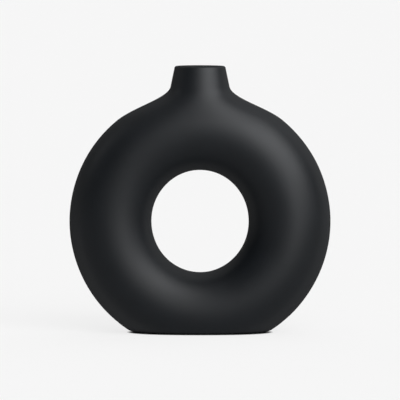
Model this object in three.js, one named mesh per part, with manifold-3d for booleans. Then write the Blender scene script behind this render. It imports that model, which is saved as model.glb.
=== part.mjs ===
// A ring vase in satin black stoneware. A hollow ring stands on a flat foot, and a short round neck
// rises from its crown. Two half shells, a neck and a foot slab are luted together on flat joints,
// and four felt pads keep the foot off the table.
// Millimetres, +Z up. The front faces -Y, and the origin is on the table under the middle.

import * as THREE from 'three';
import { LoftGeometry } from 'three/addons/geometries/LoftGeometry.js';
import { mergeVertices } from 'three/addons/utils/BufferGeometryUtils.js';
import Module from 'manifold-3d';

// Ring: a round tube bent into a circle, around a hole that is a little taller than wide
const RING_RADIUS = 100;
const RING_DEPTH = 62;
const HOLE_HALF_WIDTH = 37.25;
const HOLE_HALF_HEIGHT = 39.25;
const WALL = 5;

// Foot: the bottom of the ring is sliced off level and closed by a slab with a soft lower edge
const FOOT_CUT = 15.6;
const FOOT_THICKNESS = 6;
const FOOT_EDGE_RADIUS = 1;

// Neck: its joint lies below the ring's crown, its rim above it
const SEAT_DROP = 22.8;
const RIM_RISE = 19;
const NECK_LENGTH = 15.6;
const NECK_RADIUS = 22.5;
const RIM_RADIUS = 19.7;
const NECK_WALL = 4;

// How far the shoulder's curve carries on along the ring, and along the neck, before it turns
const SHOULDER_REACH = 17;
const NECK_REACH = 9.5;

// Felt pads, set in from the edge of the foot
const PAD_RADIUS = 5;
const PAD_THICKNESS = 1;
const PAD_INSET = 4.5;

// Heights that follow from the sizes above
const FOOT_Z = PAD_THICKNESS;
const FOOT_JOINT_Z = FOOT_Z + FOOT_THICKNESS;
const RING_Z = FOOT_Z + RING_RADIUS - FOOT_CUT;
const CROWN_Z = RING_Z + RING_RADIUS;
const SEAT_Z = CROWN_Z - SEAT_DROP;
const RIM_Z = CROWN_Z + RIM_RISE;
const NECK_Z = RIM_Z - NECK_LENGTH;

// Steps around the ring, over half of its section, around the neck and foot, and along each curve
const RING_STEPS = 64;
const SECTION_STEPS = 12;
const PLAN_STEPS = 48;
const SHOULDER_STEPS = 8;
const LIP_STEPS = 6;
const EDGE_STEPS = 4;
const PAD_STEPS = 24;

const QUARTER_TURN = Math.PI / 2;
const HALF_TURN = Math.PI;
const FULL_TURN = 2 * Math.PI;

const wasm = await Module();
wasm.setup();

// A smooth closed geometry as a solid that can be cut
function toSolid(geometry) {
  const bare = new THREE.BufferGeometry();
  bare.setAttribute('position', geometry.getAttribute('position'));
  bare.setIndex(geometry.getIndex());
  const merged = mergeVertices(bare);
  const mesh = new wasm.Mesh({
    numProp: 3,
    vertProperties: merged.attributes.position.array,
    triVerts: Uint32Array.from(merged.index.array),
  });
  return new wasm.Manifold(mesh);
}

function toGeometry(solid) {
  const mesh = solid.getMesh();
  const geometry = new THREE.BufferGeometry();
  geometry.setAttribute('position', new THREE.BufferAttribute(mesh.vertProperties, 3));
  geometry.setIndex(new THREE.BufferAttribute(mesh.triVerts, 1));
  geometry.computeVertexNormals();
  return geometry;
}

// A skin over closed loops that come round to the first one again
function loftAround(loops) {
  return new LoftGeometry([...loops, loops[0]]);
}

// A block between two heights that reaches well past the ring on every side
function levelBlock(bottom, top) {
  const reach = 2 * RING_RADIUS;
  const square = (z) => [
    new THREE.Vector3(-reach, -reach, z),
    new THREE.Vector3(reach, -reach, z),
    new THREE.Vector3(reach, reach, z),
    new THREE.Vector3(-reach, reach, z),
  ];
  return new LoftGeometry([square(bottom), square(top)], { capStart: true, capEnd: true });
}

// The oval section of the ring's tube at an angle around the ring, drawn in by an inset
function tubeSection(angle, inset) {
  const hole = 1 / Math.hypot(Math.cos(angle) / HOLE_HALF_WIDTH, Math.sin(angle) / HOLE_HALF_HEIGHT);
  return {
    middle: (RING_RADIUS + hole) / 2,
    halfWidth: (RING_RADIUS - hole) / 2 - inset,
    halfDepth: RING_DEPTH / 2 - inset,
  };
}

// A point on the front of the tube, from the ring's outer edge (turn 0) to the hole (half a turn)
function tubePoint(angle, turn, inset) {
  const tube = tubeSection(angle, inset);
  const radius = tube.middle + tube.halfWidth * Math.cos(turn);
  return new THREE.Vector3(
    radius * Math.cos(angle),
    -tube.halfDepth * Math.sin(turn),
    RING_Z + radius * Math.sin(angle),
  );
}

// The ring's level outline at a height near its crown or its foot, drawn in by an inset
function levelOutline(height, inset) {
  const rise = height - RING_Z;
  const halfLength = Math.sqrt((RING_RADIUS - inset) ** 2 - rise ** 2);
  const points = [];
  for (let i = 0; i < PLAN_STEPS; i++) {
    const azimuth = (i / PLAN_STEPS) * FULL_TURN;
    const x = halfLength * Math.cos(azimuth);
    const tube = tubeSection(Math.atan2(rise, x), inset);
    const offset = (Math.hypot(x, rise) - tube.middle) / tube.halfWidth;
    const halfDepth = tube.halfDepth * Math.sqrt(Math.max(0, 1 - offset ** 2));
    points.push(new THREE.Vector3(x, halfDepth * Math.sign(Math.sin(azimuth)), height));
  }
  return points;
}

// Half of the ring as an open shell, cut level where the foot and the neck join it
function ringHalf() {
  const loops = [];
  for (let i = 0; i < RING_STEPS; i++) {
    const angle = (i / RING_STEPS) * FULL_TURN;
    const outside = [];
    const inside = [];
    for (let j = 0; j <= SECTION_STEPS; j++) {
      const turn = (j / SECTION_STEPS) * HALF_TURN;
      outside.push(tubePoint(angle, turn, 0));
      inside.push(tubePoint(angle, turn, WALL));
    }
    loops.push([...inside, ...outside.reverse()]);
  }
  const shell = toSolid(loftAround(loops));
  const kept = toSolid(levelBlock(FOOT_JOINT_Z, SEAT_Z));
  return toGeometry(shell.intersect(kept));
}

// One curve for each azimuth, which leaves the ring along its surface and runs up into the neck
function shoulderCurves(inset, neckRadius) {
  const tangentStep = 0.1;
  const seat = levelOutline(SEAT_Z, inset);
  const below = levelOutline(SEAT_Z - tangentStep, inset);
  return seat.map((start, i) => {
    const azimuth = (i / PLAN_STEPS) * FULL_TURN;
    const outward = new THREE.Vector3(Math.cos(azimuth), Math.sin(azimuth), 0);
    const alongRing = start.clone().sub(below[i]).setLength(SHOULDER_REACH);
    const alongNeck = outward.clone().multiplyScalar(NECK_RADIUS - RIM_RADIUS);
    alongNeck.z = -NECK_LENGTH;
    alongNeck.setLength(NECK_REACH);
    const end = outward.clone().multiplyScalar(neckRadius).setZ(NECK_Z);
    return new THREE.CubicBezierCurve3(start, start.clone().add(alongRing), end.clone().add(alongNeck), end);
  });
}

// The half-round lip at one azimuth, from the mouth to the outside of the neck
function lipPoints(azimuth) {
  const lipRadius = NECK_WALL / 2;
  const points = [];
  for (let i = 0; i <= LIP_STEPS; i++) {
    const turn = (i / LIP_STEPS) * HALF_TURN;
    const radius = RIM_RADIUS - lipRadius - lipRadius * Math.cos(turn);
    const height = RIM_Z - lipRadius + lipRadius * Math.sin(turn);
    points.push(new THREE.Vector3(radius * Math.cos(azimuth), radius * Math.sin(azimuth), height));
  }
  return points;
}

// The neck with its spreading shoulder, an open shell that stands on the cut crown of the ring
function neck() {
  const outside = shoulderCurves(0, NECK_RADIUS);
  const inside = shoulderCurves(WALL, NECK_RADIUS - NECK_WALL);
  const loops = inside.map((curve, i) => [
    ...curve.getPoints(SHOULDER_STEPS),
    ...lipPoints((i / PLAN_STEPS) * FULL_TURN),
    ...outside[i].getPoints(SHOULDER_STEPS).reverse(),
  ]);
  return loftAround(loops);
}

// The slab that closes the ring at the bottom and carries on its surface down to the soft edge
function footSlab() {
  const levels = [];
  for (let i = 0; i <= EDGE_STEPS; i++) {
    const turn = (i / EDGE_STEPS) * QUARTER_TURN;
    const height = FOOT_Z + FOOT_EDGE_RADIUS * (1 - Math.cos(turn));
    levels.push(levelOutline(height, FOOT_EDGE_RADIUS * (1 - Math.sin(turn))));
  }
  const middle = (FOOT_Z + FOOT_EDGE_RADIUS + FOOT_JOINT_Z) / 2;
  levels.push(levelOutline(middle, 0), levelOutline(FOOT_JOINT_Z, 0));
  return new LoftGeometry(levels, { capStart: true, capEnd: true });
}

function feltPad() {
  const pad = new THREE.CylinderGeometry(PAD_RADIUS, PAD_RADIUS, PAD_THICKNESS, PAD_STEPS);
  return pad.rotateX(QUARTER_TURN);
}

// The middle of one pad, set in from the rounded corner of the foot's flat underside
function padPlace() {
  const eighthTurn = Math.round(PLAN_STEPS / 8);
  const corner = levelOutline(FOOT_Z, FOOT_EDGE_RADIUS)[eighthTurn];
  const inset = PAD_INSET + PAD_RADIUS;
  return new THREE.Vector3(corner.x - inset, corner.y - inset, PAD_THICKNESS / 2);
}

function blackGlaze() {
  return new THREE.MeshStandardMaterial({ color: 0x1d1e20, roughness: 0.5, metalness: 0 });
}

function blackFelt() {
  return new THREE.MeshStandardMaterial({ color: 0x141415, roughness: 1, metalness: 0 });
}

const vase = new THREE.Group();

function addPiece(name, geometry, material) {
  const piece = new THREE.Mesh(geometry, material);
  piece.name = name;
  vase.add(piece);
  return piece;
}

const halfShell = ringHalf();
addPiece('ring_front_half', halfShell, blackGlaze());
addPiece('ring_rear_half', halfShell.clone(), blackGlaze()).rotation.z = HALF_TURN;
addPiece('neck', neck(), blackGlaze());
addPiece('foot_slab', footSlab(), blackGlaze());

const place = padPlace();
for (const [end, ySide] of [['front', -1], ['rear', 1]]) {
  for (const [hand, xSide] of [['left', -1], ['right', 1]]) {
    const pad = addPiece(`pad_${end}_${hand}`, feltPad(), blackFelt());
    pad.position.set(xSide * place.x, ySide * place.y, place.z);
  }
}

export default vase;
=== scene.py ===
# %% [markdown]
# # Ring vase in satin black stoneware
# The vase is an upright hollow ring. Its bottom is sliced off level for a foot, and a short round
# neck grows out of its crown. It is made like many ring vessels: two half shells, a neck and a foot
# slab are joined with slip, the whole body is glazed and fired, and felt discs go under the foot.
#
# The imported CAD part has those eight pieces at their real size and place. This lesson gives each one
# a finer skin and its real finish, then sets the vase in soft studio light. All lengths are metres.

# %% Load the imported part
import math
import bpy
import numpy as np
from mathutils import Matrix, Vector, noise


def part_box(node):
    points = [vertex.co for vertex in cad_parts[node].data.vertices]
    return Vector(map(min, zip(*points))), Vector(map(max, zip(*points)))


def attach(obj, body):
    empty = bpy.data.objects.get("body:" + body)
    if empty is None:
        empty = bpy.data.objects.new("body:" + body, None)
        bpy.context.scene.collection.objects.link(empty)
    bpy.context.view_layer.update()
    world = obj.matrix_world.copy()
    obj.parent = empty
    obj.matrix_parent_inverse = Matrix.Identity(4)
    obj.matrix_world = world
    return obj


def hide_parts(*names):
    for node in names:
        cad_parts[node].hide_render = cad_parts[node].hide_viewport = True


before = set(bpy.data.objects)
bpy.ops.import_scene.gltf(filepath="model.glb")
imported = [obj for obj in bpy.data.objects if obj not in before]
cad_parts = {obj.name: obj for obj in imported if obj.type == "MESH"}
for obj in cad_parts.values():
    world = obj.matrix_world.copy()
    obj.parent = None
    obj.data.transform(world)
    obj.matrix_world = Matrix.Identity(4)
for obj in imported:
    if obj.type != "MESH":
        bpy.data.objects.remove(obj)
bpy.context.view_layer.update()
print("CAD nodes:", ", ".join(sorted(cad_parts)))

# %% [markdown]
# ## Sizes
# A visual model has to be exactly as big as the CAD model, or the two drift apart. So every size that
# a CAD piece's box can give is read from there. The few that no box shows, such as the hole, the wall
# and the neck, are repeated from the drawing in millimetres.

# %% Read the sizes
MM = 0.001
ring_low, ring_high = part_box("ring_front_half")
neck_low, neck_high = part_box("neck")
foot_low, foot_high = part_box("foot_slab")

RING_RADIUS = ring_high.x
RING_DEPTH = -2 * ring_low.y
FOOT_Z = foot_low.z
FOOT_JOINT_Z = ring_low.z
SEAT_Z = ring_high.z
RIM_Z = neck_high.z
RING_Z = FOOT_JOINT_Z + math.sqrt(RING_RADIUS ** 2 - foot_high.x ** 2)

HOLE_HALF_WIDTH = 37.25 * MM
HOLE_HALF_HEIGHT = 39.25 * MM
WALL = 5 * MM
print(f"ring centre {RING_Z / MM:.1f} mm up, seat at {SEAT_Z / MM:.1f} mm, rim at {RIM_Z / MM:.1f} mm")

# %% [markdown]
# ## The ring's surface as a field
# The ring is a round tube bent into a circle, and its hole is a little taller than wide, so the tube's
# section changes slowly on the way round. A torus from the Add menu can't do that. Here the surface is
# a field instead: a number that is 1 on the skin, less inside and more outside. The direction in which
# the field rises fastest is the skin's normal, and that holds for the ring, the seat and the foot.

# %% Write the tube's section and its normal
def tube_section(angle, inset):
    """Middle radius, half width and half depth of the tube at an angle around the ring."""
    hole = 1 / np.hypot(np.cos(angle) / HOLE_HALF_WIDTH, np.sin(angle) / HOLE_HALF_HEIGHT)
    return (RING_RADIUS + hole) / 2, (RING_RADIUS - hole) / 2 - inset, RING_DEPTH / 2 - inset


def ring_field(points, inset):
    """The field of the ring's skin, drawn in by an inset."""
    x, y, rise = points[..., 0], points[..., 1], points[..., 2] - RING_Z
    middle, half_width, half_depth = tube_section(np.arctan2(rise, x), inset)
    return np.hypot((np.hypot(x, rise) - middle) / half_width, y / half_depth)


def unit(vectors):
    """The same directions with a length of 1."""
    return vectors / np.linalg.norm(vectors, axis=-1, keepdims=True)


def ring_normal(points, inset):
    """Outward normals of the ring's skin, from small steps along x, y and z."""
    small_step = 0.001 * MM
    steps = small_step * np.eye(3)
    slopes = [ring_field(points + s, inset) - ring_field(points - s, inset) for s in steps]
    return unit(np.stack(slopes, axis=-1))


_, crown_half_width, _ = tube_section(math.pi / 2, 0)
print(f"tube at the crown: {2 * crown_half_width / MM:.1f} mm across, {RING_DEPTH / MM:.1f} mm deep")

# %% [markdown]
# ## Low waves from the maker's sponge
# A half shell comes out of its mould nearly true, but the seams are then scraped and sponged by hand.
# That leaves very low, long waves, which only show where they bend a highlight. A bump texture could
# fake them, but real geometry also holds up in other light, so each point moves in or out by a little.
# Where the surface tilts, the normal tilts with it.

# %% Write the waves
WAVE_LENGTH = 32 * MM
WAVE_HEIGHT = 0.12 * MM


def wave_height(points):
    """How far the skin stands out of true at each point."""
    flat = points.reshape(-1, 3) / WAVE_LENGTH
    heights = [noise.noise(Vector(p)) for p in flat]
    return WAVE_HEIGHT * np.array(heights).reshape(points.shape[:-1])


def sponged(points, normals):
    """Points moved by the waves, with normals that follow the new slopes."""
    small_step = 0.02 * WAVE_LENGTH
    height = wave_height(points)
    slopes = [(wave_height(points + s) - height) / small_step for s in small_step * np.eye(3)]
    slope = np.stack(slopes, axis=-1)
    along_normal = np.sum(slope * normals, axis=-1, keepdims=True)
    return points + normals * height[..., None], unit(normals - slope + along_normal * normals)


print(f"waves {WAVE_LENGTH / MM:.0f} mm long, up to {WAVE_HEIGHT / MM:.2f} mm high")

# %% [markdown]
# ## From loops of points to a closed mesh
# Every piece is a stack of closed loops. Neighbouring loops are joined by four-sided faces, which stay
# even and shade smoothly. A shell also joins its last loop to its first; a slab gets a flat face at
# each end. Smooth skins take the normals that were worked out above, so that no seam shows where two
# pieces meet. A flat joint keeps its own face's normal, and its edge stays crisp.

# %% Write the mesh helpers
SKIN_MATCH = 0.8


def loop_faces(count, length, around):
    """Four-sided faces over loops of the same length; around joins the last loop to the first."""
    index = np.arange(count * length).reshape(count, length)
    following = np.roll(index, -1, axis=0)
    faces = np.stack([index, following, np.roll(following, -1, 1), np.roll(index, -1, 1)], axis=-1)
    return (faces if around else faces[:-1]).reshape(-1, 4).tolist()


def stack_faces(count, length):
    """Faces over a stack of loops from the bottom up, with a ladder of faces across each flat end."""
    sides = [face[::-1] for face in loop_faces(count, length, around=False)]
    half = length // 2
    rungs = [[i, (length - i) % length, length - i - 1, i + 1] for i in range(half)]
    under = [list(dict.fromkeys(rung)) for rung in rungs]
    top = (count - 1) * length
    return sides + under + [[top + i for i in reversed(rung)] for rung in under]


def corner_normals(mesh, normals):
    """The given normals at each face's corners, or the face's own where they don't belong to it."""
    corners = []
    for face in mesh.polygons:
        skin = normals[list(face.vertices)]
        on_skin = np.dot(skin.mean(axis=0), face.normal) > SKIN_MATCH
        corners.extend(skin if on_skin else [face.normal] * len(skin))
    return corners


def make_piece(name, node, slot, loops, normals, faces, *materials):
    """A closed mesh that stands for one CAD node and rides on the vase's only body."""
    points = loops.reshape(-1, 3)
    mesh = bpy.data.meshes.new(name)
    mesh.from_pydata(points.tolist(), [], faces)
    mesh.polygons.foreach_set("use_smooth", [True] * len(mesh.polygons))
    mesh.normals_split_custom_set(corner_normals(mesh, normals.reshape(-1, 3)))
    for material in materials:
        mesh.materials.append(material)
    piece = bpy.data.objects.new(name, mesh)
    bpy.context.scene.collection.objects.link(piece)
    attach(piece, "root")
    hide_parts(node)
    return piece


print("helpers ready: loop_faces, stack_faces, corner_normals, make_piece")

# %% [markdown]
# ## One way to add nodes and colours
# A material is a small graph of nodes. One function adds a node, sets its values and links its inputs,
# so that each material below reads as a list of what feeds what. Colours are written as sRGB hex, as
# they look on a screen, and one function turns them into the linear values that shaders work with.

# %% Write the material helpers
def linear(colour):
    """An sRGB hex colour as linear red, green, blue and alpha."""
    channels = [int(colour[i:i + 2], 16) / 255 for i in (0, 2, 4)]
    return [c / 12.92 if c <= 0.04045 else ((c + 0.055) / 1.055) ** 2.4 for c in channels] + [1]


def add_node(tree, kind, settings, links):
    """Adds a node. Settings are its own properties or its inputs' values; links feed its inputs."""
    node = tree.nodes.new("ShaderNode" + kind)
    for name, value in settings.items():
        if hasattr(node, name):
            setattr(node, name, value)
    inputs = {key: s for s in reversed(node.inputs) if s.enabled for key in (s.name, s.identifier)}
    for name, value in settings.items():
        if name in inputs:
            inputs[name].default_value = value
    for name, output in links.items():
        tree.links.new(inputs[name], output)
    return node


def new_material(name):
    """An empty material and its node tree."""
    material = bpy.data.materials.new(name)
    material.use_nodes = True
    material.node_tree.nodes.clear()
    return material, material.node_tree


print("mid grey 808080 in linear values:", [round(c, 3) for c in linear("808080")[:3]])

# %% [markdown]
# ## Satin black stoneware glaze
# The body is covered in a matt glaze, sprayed on evenly and fired until it just melts. Tiny crystals in
# it scatter the light, so the eye sees a deep black with broad, soft highlights, and no mirror images.
# They break up most of the mirror part, so the specular level is low. Where the eye skims along the skin
# the highlights spread wider still, so Layer Weight adds to the roughness there. Colour and roughness
# wander slightly with the thickness of the coat. The skin has a fine grain of about half a millimetre,
# drawn here at more than twice that so that it shows in the render.

# %% Mix the glaze
GLAZE_THICK = "070a0d"
GLAZE_THIN = "0c0f13"
GLAZE_IOR = 1.5
GLAZE_SPECULAR = 0.145
GLAZE_ROUGHNESS = 0.5
ROUGHNESS_WANDER = 0.04
SLANT_ROUGHNESS = 0.5
SLANT_START = 0.35
SLANT_END = 0.9
CLOUD_SIZE = 28 * MM
GRAIN_SIZE = 1.3 * MM
GRAIN_HEIGHT = 0.012 * MM

glaze, tree = new_material("satin_black_stoneware_glaze")
place = add_node(tree, "TexCoord", {}, {})
clouds = add_node(tree, "TexNoise", {"Scale": 1 / CLOUD_SIZE, "Detail": 3},
                  {"Vector": place.outputs["Object"]})
grain = add_node(tree, "TexNoise", {"Scale": 1 / GRAIN_SIZE, "Detail": 2},
                 {"Vector": place.outputs["Object"]})
colour = add_node(tree, "Mix", {"data_type": "RGBA", "A": linear(GLAZE_THICK), "B": linear(GLAZE_THIN)},
                  {"Factor": clouds.outputs["Fac"]})
gloss = add_node(tree, "MapRange", {"To Min": GLAZE_ROUGHNESS - ROUGHNESS_WANDER,
                                    "To Max": GLAZE_ROUGHNESS + ROUGHNESS_WANDER},
                 {"Value": clouds.outputs["Fac"]})
slant = add_node(tree, "LayerWeight", {"Blend": 0.5}, {})
dulling = add_node(tree, "MapRange", {"From Min": SLANT_START, "From Max": SLANT_END,
                                      "To Max": SLANT_ROUGHNESS}, {"Value": slant.outputs["Facing"]})
roughness = add_node(tree, "Math", {"operation": "ADD"},
                     {"Value": gloss.outputs["Result"], "Value_001": dulling.outputs["Result"]})
bump = add_node(tree, "Bump", {"Strength": 1, "Distance": GRAIN_HEIGHT}, {"Height": grain.outputs["Fac"]})
skin = add_node(tree, "BsdfPrincipled", {"IOR": GLAZE_IOR, "Specular IOR Level": GLAZE_SPECULAR},
                {"Base Color": colour.outputs["Result"], "Roughness": roughness.outputs["Value"],
                 "Normal": bump.outputs["Normal"]})
add_node(tree, "OutputMaterial", {}, {"Surface": skin.outputs["BSDF"]})
print("made", glaze.name, "with", len(tree.nodes), "nodes")

# %% [markdown]
# ## Where the ring is cut
# The ring is cut level twice: at the crown, where the neck is seated, and at the bottom, where the foot
# slab closes it. The outline of a level cut is a long oval. Its points are worked out once and shared by
# both pieces that meet there, so that their edges match point for point and no gap can open.

# %% Write the outline of a level cut
PLAN_STEPS = 144

bearings = np.linspace(0, 2 * math.pi, PLAN_STEPS, endpoint=False)
outward = np.stack([np.cos(bearings), np.sin(bearings), np.zeros(PLAN_STEPS)], axis=-1).round(12)


def level_outline(height, inset):
    """The ring's outline at a height near its crown or its foot, drawn in by an inset."""
    rise = height - RING_Z
    x = math.sqrt((RING_RADIUS - inset) ** 2 - rise ** 2) * outward[:, 0]
    middle, half_width, half_depth = tube_section(np.arctan2(rise, x), inset)
    offset = (np.hypot(x, rise) - middle) / half_width
    y = half_depth * np.sqrt(np.maximum(0, 1 - offset ** 2)) * np.sign(outward[:, 1])
    return np.stack([x, y, np.full(PLAN_STEPS, height)], axis=-1)


for label, height in (("seat", SEAT_Z), ("foot joint", FOOT_JOINT_Z)):
    length, width, _ = 2 * level_outline(height, 0).max(axis=0) / MM
    print(f"the {label} is an oval of {length:.1f} by {width:.1f} mm")

# %% [markdown]
# ## An even net over half a tube
# Rows of points along the tube would bunch up into slivers where the cuts meet the ring's outer edge, and
# a Boolean cut would leave ragged triangles. So the half tube is first unrolled into a flat ring. There a
# net is pinned along its outer edge and its hole, and pulled even by moving each knot to the middle of
# its four neighbours, over and over. Then it is wrapped back onto the tube.

# %% Write the net
SIDE_STEPS = 72
RELAX_ROUNDS = 1500
HOLE_TURN = (HOLE_HALF_WIDTH + HOLE_HALF_HEIGHT) / RING_DEPTH


def unroll(angle, turn):
    """Places on the flat ring for an angle around the ring and a turn around the tube."""
    reach = HOLE_TURN + math.pi - turn
    return np.stack([reach * np.cos(angle), reach * np.sin(angle)], axis=-1)


def skin_edge(inset):
    """The outer edge of the half tube on the flat ring: right side, seat, left side and foot."""
    crown = math.asin((SEAT_Z - RING_Z) / (RING_RADIUS - inset))
    foot = math.asin((RING_Z - FOOT_JOINT_Z) / (RING_RADIUS - inset))
    right = np.linspace(-foot, crown, SIDE_STEPS, endpoint=False)
    sides = [unroll(right, 0 * right), unroll(math.pi - right[::-1] - (right[1] - right[0]), 0 * right)]
    cuts = []
    for height, part in ((SEAT_Z, slice(0, PLAN_STEPS // 2)), (FOOT_JOINT_Z, slice(PLAN_STEPS // 2, None))):
        x, _, z = level_outline(height, inset)[part].T
        angle = np.arctan2(z - RING_Z, x)
        middle, half_width, _ = tube_section(angle, inset)
        cuts.append(unroll(angle, np.arccos(np.clip((np.hypot(x, z - RING_Z) - middle) / half_width, -1, 1))))
    return np.concatenate([sides[0], cuts[0], sides[1], cuts[1]])


def even_net(edge, rows):
    """Knots between the outer edge and the hole, relaxed until they are evenly spread."""
    angle = 2 * math.pi * (np.arange(len(edge)) - SIDE_STEPS / 2) / len(edge)
    share = np.linspace(0, 1, rows + 1)[:, None]
    net = edge[:, None] * (1 - share) + unroll(angle, math.pi + 0 * angle)[:, None] * share
    for _ in range(RELAX_ROUNDS):
        beside = np.roll(net, 1, axis=0) + np.roll(net, -1, axis=0)
        net[:, 1:-1] = (beside[:, 1:-1] + net[:, 2:] + net[:, :-2]) / 4
    return net


print("knots along the outer edge:", len(skin_edge(0)))

# %% [markdown]
# ## Two half shells for the ring
# The ring is pressed or cast in two halves that meet on its middle plane. Each half is one closed shell:
# the glazed outside, the inside of the cavity, and the flat joints at the middle, the seat and the foot.
# Two nets make it, one for the outside and a coarser one for the inside, a wall's thickness further in.

# %% Make the ring
OUTSIDE_ROWS = 36
INSIDE_ROWS = 12


def ring_skin(inset, rows):
    """The front of the tube as columns of points from its outer edge to the hole."""
    net = even_net(skin_edge(inset), rows)
    angle = np.arctan2(net[..., 1], net[..., 0])
    turn = math.pi + HOLE_TURN - np.linalg.norm(net, axis=-1)
    middle, half_width, half_depth = tube_section(angle, inset)
    radius = middle + half_width * np.cos(turn)
    depth = -half_depth * np.sin(turn).round(12)
    return np.stack([radius * np.cos(angle), depth, RING_Z + radius * np.sin(angle)], axis=-1)


def half_shell(side):
    """Points and normals of one half; side is 1 for the front and -1 for the rear."""
    mirror = np.array([1, side, 1])
    outside = ring_skin(0, OUTSIDE_ROWS) * mirror
    inside = ring_skin(WALL, INSIDE_ROWS)[:, ::-1] * mirror
    outside, outside_normals = sponged(outside, ring_normal(outside, 0))
    loops = np.concatenate([outside, inside], axis=1)
    normals = np.concatenate([outside_normals, -ring_normal(inside, WALL)], axis=1)
    return loops[:, ::side], normals[:, ::side]


for end, side in (("front", 1), ("rear", -1)):
    loops, normals = half_shell(side)
    faces = loop_faces(*loops.shape[:2], around=True)
    shell = make_piece(f"glazed_ring_{end}", f"ring_{end}_half", "black_glaze", loops, normals, faces, glaze)
    print(shell.name, "has", len(shell.data.polygons), "faces")

# %% [markdown]
# ## The neck and its shoulder
# The neck is thrown or cast as a short tube that spreads out like a trumpet until it lies along the ring.
# On each side of it, a Bezier curve leaves the ring along its surface and turns up into the neck, so
# the shoulder is tight at the sides and wide at the front. The lip is half round. The inside follows
# the same way one wall thickness in.

# %% Write the curves of the neck
NECK_LENGTH = 15.6 * MM
NECK_RADIUS = 22.5 * MM
RIM_RADIUS = 19.7 * MM
NECK_WALL = 4 * MM
SHOULDER_REACH = 17 * MM
NECK_REACH = 9.5 * MM
NECK_Z = RIM_Z - NECK_LENGTH
UP = np.array([0, 0, 1])


def shoulder(inset, neck_radius, steps):
    """Rows of points from the seat up to the foot of the straight neck."""
    tangent_step = 0.1 * MM
    seat = level_outline(SEAT_Z, inset)
    along_ring = unit(seat - level_outline(SEAT_Z - tangent_step, inset))
    along_neck = unit(outward * (NECK_RADIUS - RIM_RADIUS) - UP * NECK_LENGTH)
    top = outward * neck_radius + UP * NECK_Z
    handles = [seat, seat + SHOULDER_REACH * along_ring, top + NECK_REACH * along_neck, top]
    t = np.linspace(0, 1, steps + 1)[:, None, None]
    weights = [(1 - t) ** 3, 3 * t * (1 - t) ** 2, 3 * t ** 2 * (1 - t), t ** 3]
    return sum(w * h for w, h in zip(weights, handles))


seat_x, seat_y, _ = level_outline(SEAT_Z, 0).max(axis=0)
print(f"the shoulder starts as an oval of {2 * seat_x / MM:.1f} by {2 * seat_y / MM:.1f} mm")

# %% Make the neck
SHOULDER_STEPS = 36
STRAIGHT_STEPS = 8
LIP_STEPS = 16


def lip_rows():
    """The half-round lip, from the outside over the top to the mouth."""
    lip_radius = NECK_WALL / 2
    turn = np.linspace(0, math.pi, LIP_STEPS + 1)[:, None, None]
    radius = RIM_RADIUS - lip_radius + lip_radius * np.cos(turn)
    return radius * outward + (RIM_Z - lip_radius + lip_radius * np.sin(turn)) * UP


def straight_rows(first, last):
    """Rows between two others, without the two themselves."""
    t = np.linspace(0, 1, STRAIGHT_STEPS + 1)[1:-1, None, None]
    return first + t * (last - first)


outside = shoulder(0, NECK_RADIUS, SHOULDER_STEPS)
inside = shoulder(WALL, NECK_RADIUS - NECK_WALL, SHOULDER_STEPS)[::-1]
lip_loops = lip_rows()
rows = np.concatenate([outside, straight_rows(outside[-1], lip_loops[0]), lip_loops,
                       straight_rows(lip_loops[-1], inside[0]), inside])

around = np.roll(rows, -1, axis=1) - np.roll(rows, 1, axis=1)
normals = unit(np.cross(around, np.gradient(rows, axis=0)))
normals[0] = ring_normal(rows[0], 0)
normals[-1] = -ring_normal(rows[-1], WALL)
rows, normals = sponged(rows, normals)

loops, normals = rows.swapaxes(0, 1), normals.swapaxes(0, 1)
faces = loop_faces(*loops.shape[:2], around=True)
neck = make_piece("glazed_neck", "neck", "black_glaze", loops, normals, faces, glaze)
mouth = 2 * (RIM_RADIUS - NECK_WALL) / MM
print(f"{neck.name} has {len(neck.data.polygons)} faces and a mouth of {mouth:.1f} mm")

# %% [markdown]
# ## Bare clay under the foot
# Glaze sticks to a kiln shelf, so it is wiped off the underside before the firing. What shows there is
# the body itself: a black-stained stoneware, dry and a little gritty to the eye, with no gloss.
# Grit of about a third of a millimetre is drawn as coarse as a millimetre so that it shows.

# %% Mix the clay
CLAY_DARK = "232120"
CLAY_PALE = "35322f"
CLAY_IOR = 1.5
CLAY_ROUGHNESS = 0.9
GRIT_SIZE = 1 * MM
GRIT_HEIGHT = 0.05 * MM

clay, tree = new_material("wiped_black_stoneware_clay")
place = add_node(tree, "TexCoord", {}, {})
grit = add_node(tree, "TexNoise", {"Scale": 1 / GRIT_SIZE, "Detail": 3}, {"Vector": place.outputs["Object"]})
colour = add_node(tree, "Mix", {"data_type": "RGBA", "A": linear(CLAY_DARK), "B": linear(CLAY_PALE)},
                  {"Factor": grit.outputs["Fac"]})
bump = add_node(tree, "Bump", {"Strength": 1, "Distance": GRIT_HEIGHT}, {"Height": grit.outputs["Fac"]})
body = add_node(tree, "BsdfPrincipled", {"IOR": CLAY_IOR, "Roughness": CLAY_ROUGHNESS},
                {"Base Color": colour.outputs["Result"], "Normal": bump.outputs["Normal"]})
add_node(tree, "OutputMaterial", {}, {"Surface": body.outputs["BSDF"]})
print("made", clay.name, "with", len(tree.nodes), "nodes")

# %% [markdown]
# ## The foot slab
# A slab closes the sliced-off ring and carries its surface on down to a soft, fettled edge. It is a stack
# of level outlines: first round the soft edge, then straight on up to the joint. A Bevel modifier would
# round both edges of the slab, but the upper one is a joint and has to stay sharp.

# %% Make the foot
FOOT_EDGE_RADIUS = 1 * MM
EDGE_STEPS = 8
FLANK_STEPS = 4
FACES_DOWN = -0.99

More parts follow.
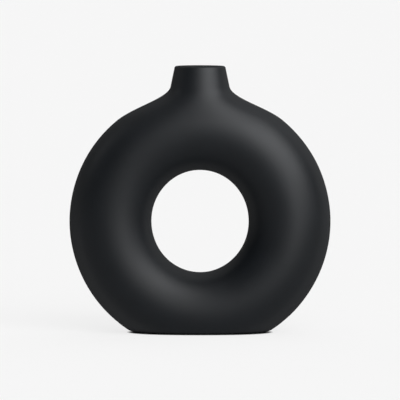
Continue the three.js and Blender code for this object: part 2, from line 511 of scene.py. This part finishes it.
turns = np.linspace(0, math.pi / 2, EDGE_STEPS + 1)
edge = [level_outline(FOOT_Z + FOOT_EDGE_RADIUS * (1 - math.cos(t)), FOOT_EDGE_RADIUS * (1 - math.sin(t)))
        for t in turns]
heights = np.linspace(FOOT_Z + FOOT_EDGE_RADIUS, FOOT_JOINT_Z, FLANK_STEPS + 1)
flank = [level_outline(height, 0) for height in heights[1:]]
levels = np.array(edge + flank)
around = np.roll(levels, -1, axis=1) - np.roll(levels, 1, axis=1)
normals = unit(np.cross(around, np.gradient(levels, axis=0)))
normals[EDGE_STEPS:] = ring_normal(levels[EDGE_STEPS:], 0)
levels, normals = sponged(levels, normals)

faces = stack_faces(*levels.shape[:2])
foot = make_piece("glazed_foot", "foot_slab", "black_glaze", levels, normals, faces, glaze, clay)
for face in foot.data.polygons:
    face.material_index = int(face.normal.z < FACES_DOWN)
print("glazed_foot stands on a flat of", [round(2 * s / MM, 1) for s in levels[0].max(axis=0)[:2]], "mm")

# %% [markdown]
# ## Felt
# The pads are punched from a sheet of needled felt: fibres pressed and tangled until they hold. It takes
# almost no highlight, and stray fibres on its surface catch the light from the side as a faint sheen.
# A fibre is about 0.02 mm thick. The tangle is drawn at half a millimetre so that it shows.

# %% Mix the felt
FELT_DARK = "0f0f10"
FELT_PALE = "1d1d1f"
FELT_IOR = 1.5
FELT_SPECULAR = 0.1
FELT_SHEEN = 0.2
TANGLE_SIZE = 0.5 * MM
TANGLE_HEIGHT = 0.12 * MM

felt, tree = new_material("needled_black_felt")
place = add_node(tree, "TexCoord", {}, {})
tangle = add_node(tree, "TexNoise", {"Scale": 1 / TANGLE_SIZE, "Detail": 4, "Distortion": 1.5},
                  {"Vector": place.outputs["Object"]})
colour = add_node(tree, "Mix", {"data_type": "RGBA", "A": linear(FELT_DARK), "B": linear(FELT_PALE)},
                  {"Factor": tangle.outputs["Fac"]})
bump = add_node(tree, "Bump", {"Strength": 1, "Distance": TANGLE_HEIGHT}, {"Height": tangle.outputs["Fac"]})
fibres = add_node(tree, "BsdfPrincipled",
                  {"IOR": FELT_IOR, "Roughness": 1, "Specular IOR Level": FELT_SPECULAR,
                   "Sheen Weight": FELT_SHEEN},
                  {"Base Color": colour.outputs["Result"], "Normal": bump.outputs["Normal"]})
add_node(tree, "OutputMaterial", {}, {"Surface": fibres.outputs["BSDF"]})
print("made", felt.name, "with", len(tree.nodes), "nodes")

# %% [markdown]
# ## Four felt pads
# Each pad is a disc as thick as the gap under the foot. A plain cylinder would look machined, and felt
# isn't: the glued face is crisp, the lower edge wears round, the rim swells a little under the load and
# the punch leaves it fuzzy. So a pad is a stack of rings with a crisp top, a rounded lower edge and a
# slightly uneven rim.

# %% Make the pads
PAD_STEPS = 72
PAD_LEVELS = 12
PAD_EDGE = 0.4 * MM
FUZZ_SIZE = 0.7 * MM
FUZZ_DEPTH = 0.12 * MM

turns = np.linspace(0, 2 * math.pi, PAD_STEPS, endpoint=False)
spokes = np.stack([np.cos(turns), np.sin(turns), np.zeros(PAD_STEPS)], axis=-1)


def pad_levels(low, high):
    """Rings of points from the table up to the foot, inside the box of one CAD pad."""
    centre = np.array([(low.x + high.x) / 2, (low.y + high.y) / 2, 0])
    pad_radius = (high.x - low.x) / 2 - FUZZ_DEPTH
    levels = []
    for z in np.linspace(low.z, high.z, PAD_LEVELS + 1):
        rounding = max(0, 1 - (z - low.z) / PAD_EDGE)
        worn = PAD_EDGE * (1 - math.sqrt(1 - rounding ** 2))
        ring = centre + (pad_radius - worn) * spokes + z * UP
        fuzz = np.array([noise.noise(Vector(p / FUZZ_SIZE)) for p in ring])
        levels.append(ring + FUZZ_DEPTH * fuzz[:, None] * spokes)
    return np.array(levels)


for corner in ("front_left", "front_right", "rear_left", "rear_right"):
    levels = pad_levels(*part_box(f"pad_{corner}"))
    around = np.roll(levels, -1, axis=1) - np.roll(levels, 1, axis=1)
    normals = unit(np.cross(around, np.gradient(levels, axis=0)))
    faces = stack_faces(*levels.shape[:2])
    pad = make_piece(f"felt_pad_{corner}", f"pad_{corner}", "black_felt", levels, normals, faces, felt)
    print(pad.name, "is", [round(s / MM, 1) for s in np.ptp(levels.reshape(-1, 3), axis=0)], "mm")

# %% [markdown]
# ## Camera
# The photo looks almost level at the front of the vase, from far away through a long lens. A long lens
# keeps the ring's front and back nearly the same size. The distance sets the perspective and the lens the
# size in the frame, so the lens follows from the width that the frame shows at the vase.

# %% Set the camera
CAMERA_DISTANCE = 3.6
CAMERA_RISE = math.radians(3.5)
AIM = Vector((0, 0, 101.6 * MM))
FRAME_WIDTH = 306.5 * MM

camera_data = bpy.data.cameras.new("camera")
camera_data.lens = camera_data.sensor_width * CAMERA_DISTANCE / FRAME_WIDTH
camera = bpy.data.objects.new("camera", camera_data)
bpy.context.scene.collection.objects.link(camera)
camera.location = AIM + CAMERA_DISTANCE * Vector((0, -math.cos(CAMERA_RISE), math.sin(CAMERA_RISE)))
camera.rotation_euler = (AIM - camera.location).to_track_quat("-Z", "Y").to_euler()
bpy.context.scene.camera = camera
print(f"a {camera_data.lens:.0f} mm lens from {CAMERA_DISTANCE} m")

# %% [markdown]
# ## Floor
# The vase stands on a wide sheet of matt white paper. To the camera and in reflections most of the paper's
# brightness is its own colour, so that it stays even to the horizon, and a share comes from the light
# that falls on it, so that the vase keeps its soft shadow. Where the foot hangs close above the paper
# no light gets in at all. Ambient occlusion measures how open the paper is there, and Map Range makes a
# crisp dark line of that: painted shade, which dims the paper's own glow under the foot.

# %% Lay the floor
PAPER = "f6f6f6"
FLOOR_HALF_WIDTH = 40
SHADOW_SHARE = 0.15
CONTACT_DISTANCE = 3 * MM
DARK_BELOW = 0.2
WHITE_ABOVE = 0.7

paper, tree = new_material("matt_white_paper")
rays = add_node(tree, "LightPath", {}, {})
seen = add_node(tree, "Math", {"operation": "MAXIMUM"},
                {"Value": rays.outputs["Is Camera Ray"], "Value_001": rays.outputs["Is Glossy Ray"]})
shown = add_node(tree, "Math", {"operation": "MAXIMUM"},
                 {"Value": seen.outputs["Value"], "Value_001": rays.outputs["Is Transmission Ray"]})
share = add_node(tree, "Math", {"operation": "MULTIPLY", "Value_001": 1 - SHADOW_SHARE},
                 {"Value": shown.outputs["Value"]})
contact = add_node(tree, "AmbientOcclusion", {"Distance": CONTACT_DISTANCE}, {})
lit = add_node(tree, "BsdfDiffuse", {"Color": linear(PAPER)}, {})
# painted shade: ambient occlusion dims the paper's own glow where the foot hangs close above it
painted_contact_shade = add_node(tree, "MapRange", {"From Min": DARK_BELOW, "From Max": WHITE_ABOVE},
                  {"Value": contact.outputs["AO"]})
own = add_node(tree, "Emission", {"Color": linear(PAPER)}, {"Strength": painted_contact_shade.outputs["Result"]})
sheet = add_node(tree, "MixShader", {}, {"Fac": share.outputs["Value"], "Shader": lit.outputs["BSDF"],
                                         "Shader_001": own.outputs["Emission"]})
add_node(tree, "OutputMaterial", {}, {"Surface": sheet.outputs["Shader"]})

floor_mesh = bpy.data.meshes.new("floor")
w = FLOOR_HALF_WIDTH
floor_mesh.from_pydata([(-w, -w, 0), (w, -w, 0), (w, w, 0), (-w, w, 0)], [], [(0, 1, 2, 3)])
floor_mesh.materials.append(paper)
floor = bpy.data.objects.new("floor", floor_mesh)
bpy.context.scene.collection.objects.link(floor)
print(f"a sheet of {2 * w} m, coloured {PAPER}")

# %% [markdown]
# ## Surround
# Black glaze shows whatever is around it, so a bright room would turn it grey. The surround is pale only in
# a low band at the horizon, where it carries on the paper's colour, and a dim studio above that.

# %% Set the surround
STUDIO_LIGHT = 0.04
BAND_TOP = math.sin(math.radians(3))
BAND_END = math.sin(math.radians(6))

world = bpy.data.worlds.new("surround")
bpy.context.scene.world = world
world.use_nodes = True
tree = world.node_tree
tree.nodes.clear()
place = add_node(tree, "TexCoord", {}, {})
height = add_node(tree, "SeparateXYZ", {}, {"Vector": place.outputs["Generated"]})
level = add_node(tree, "MapRange", {"interpolation_type": "SMOOTHSTEP", "From Min": BAND_TOP,
                                    "From Max": BAND_END, "To Min": 1, "To Max": STUDIO_LIGHT},
                 {"Value": height.outputs["Z"]})
sky = add_node(tree, "Background", {"Color": linear(PAPER)}, {"Strength": level.outputs["Result"]})
add_node(tree, "OutputWorld", {}, {"Surface": sky.outputs["Background"]})
bpy.context.scene.view_settings.view_transform = "Standard"
print("a pale band to", round(math.degrees(math.asin(BAND_TOP)), 1), "degrees, and dim above")

# %% [markdown]
# ## Light
# Three softboxes light the vase and the paper evenly: a strong one at the front right, a weak one overhead
# and a very wide one behind, which keeps the back of a black vase readable. Together they give the level
# at which a colour renders about as it is written. Softboxes so wide and far away act like a sun with a
# large disc, and a sun lamp is easier to set. Three white cards light nothing, and only show as highlights
# in the glaze: one close by on the right, a small one level with the vase in front, and one on the left.

# %% Set the lights
CENTRE = Vector((0, 0, 100 * MM))
SUN_DISTANCE = 2


def add_lamp(name, kind, azimuth, elevation, distance):
    """A lamp that points at the vase; the azimuth runs from the front to the right."""
    a, e = math.radians(azimuth), math.radians(elevation)
    towards = Vector((math.sin(a) * math.cos(e), -math.cos(a) * math.cos(e), math.sin(e)))
    lamp = bpy.data.lights.new(name, kind)
    stand = bpy.data.objects.new(name, lamp)
    bpy.context.scene.collection.objects.link(stand)
    stand.location = CENTRE + distance * towards
    stand.rotation_euler = towards.to_track_quat("Z", "Y").to_euler()
    stand.visible_camera = False
    return stand


for name, azimuth, elevation, width, level in (
    ("front_softbox", 25, 26, 60, 1.12),
    ("ceiling_softbox", 0, 88, 60, 0.25),
    ("rear_softbox", 165, 25, 90, 0.5),
):
    softbox = add_lamp(name, "SUN", azimuth, elevation, SUN_DISTANCE)
    softbox.data.angle = math.radians(width)
    softbox.data.energy = math.pi * level
    print(f"{name}: {level} of the light that shows white as white")

for name, azimuth, elevation, distance, size, level in (
    ("right_card", 46, 38, 0.35, 0.3, 2.05),
    ("front_card", 28, 0, 0.5, 0.12, 0.18),
    ("left_card", -100, 35, 1.2, 0.6, 0.14),
):
    card = add_lamp(name, "AREA", azimuth, elevation, distance)
    card.data.size = size
    card.data.energy = level * (math.pi * distance) ** 2
    card.visible_diffuse = False
    print(f"{name}: {size} m wide, {distance} m away")
